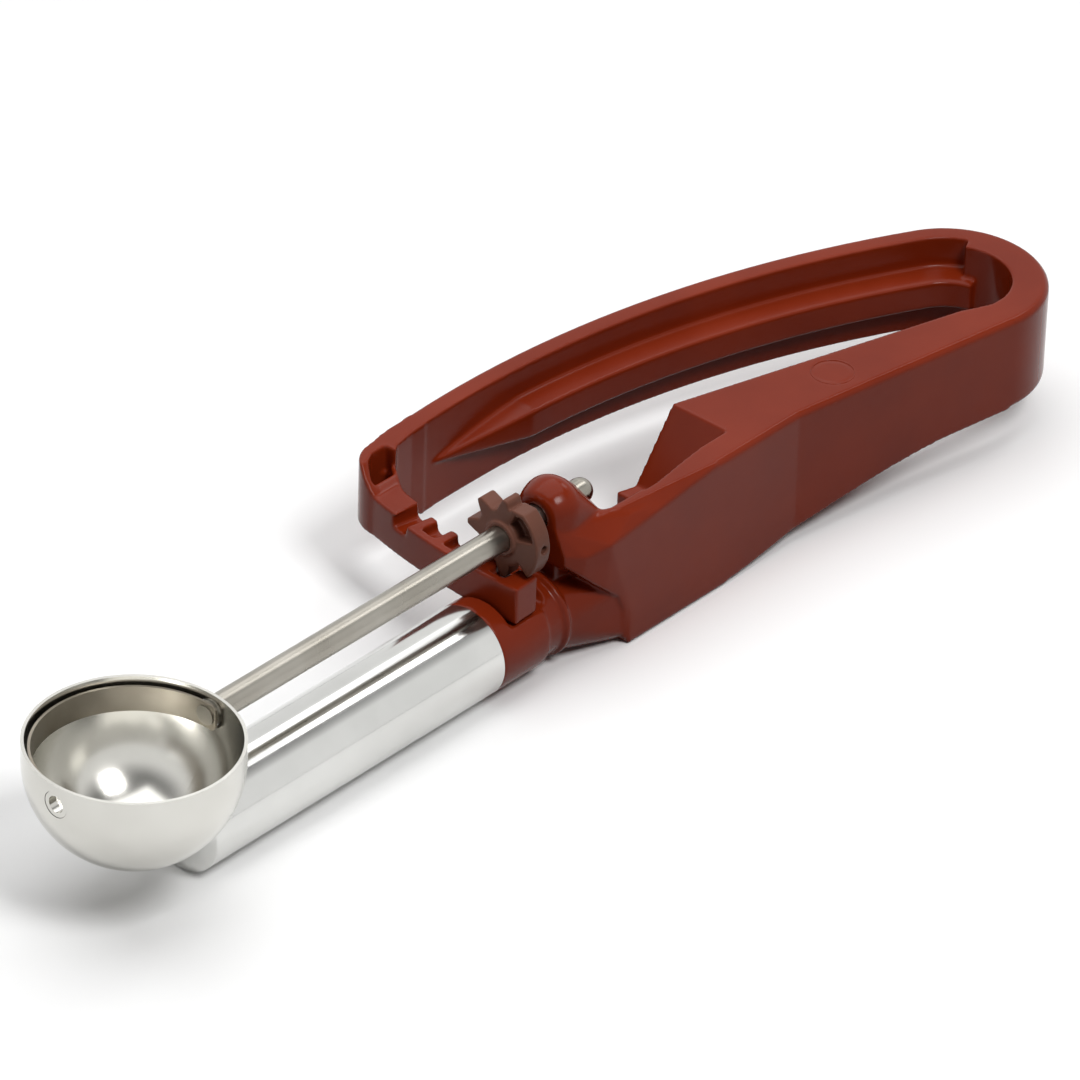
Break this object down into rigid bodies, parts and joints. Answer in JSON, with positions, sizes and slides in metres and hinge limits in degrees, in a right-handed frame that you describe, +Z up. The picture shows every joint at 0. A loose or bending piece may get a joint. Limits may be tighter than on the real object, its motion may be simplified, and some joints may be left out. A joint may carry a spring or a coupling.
{
  "type": "lever ice cream scoop",
  "caption": "Ice cream scoop with a steel bowl, a half-round scraper blade turned by a rod and pinion, and a moulded plastic handle whose squeeze lever carries the rack.",
  "frame": {"origin": "centre of the bounding box in plan, at the plane the tube and grip lie on", "axes": "+X from the bowl to the handle's bend, +Y to the squeeze lever's side, +Z up out of the bowl's mouth"},
  "size_m": [0.259, 0.0606, 0.0375],
  "materials": {
    "polished_steel": "polished stainless steel",
    "satin_steel": "satin stainless steel",
    "brown_plastic": "moulded acetal, semi gloss",
    "terracotta_plastic": "moulded plastic, semi gloss"
  },
  "bodies": {
    "handle": {"bowl": "polished_steel", "shank_tube": "polished_steel", "grip_body": "terracotta_plastic", "handle_bend": "terracotta_plastic"},
    "lever": {"squeeze_lever": "terracotta_plastic"},
    "scraper": {"drive_rod": "satin_steel", "pinion": "brown_plastic", "scraper_blade": "satin_steel", "blade_pivot": "polished_steel"}
  },
  "joints": [
    {"name": "lever_squeeze", "type": "hinge", "parent": "handle", "child": "lever", "pos_m": [0.11105, -0.0107, 0.0183], "axis": [0, 0, 1], "range_deg": [0, 8.69], "stiffness_Nm_per_rad": 8, "springref_deg": -114.59, "deforming": ["handle_bend"]},
    {"name": "scraper_turn", "type": "hinge", "parent": "handle", "child": "scraper", "pos_m": [-0.10995, -0.0107, 0.0293], "axis": [-1, 0, 0], "range_deg": [0, 154]}
  ],
  "couplings": [
    {"joint": "scraper_turn", "follows": "lever_squeeze", "ratio": 17.714}
  ]
}
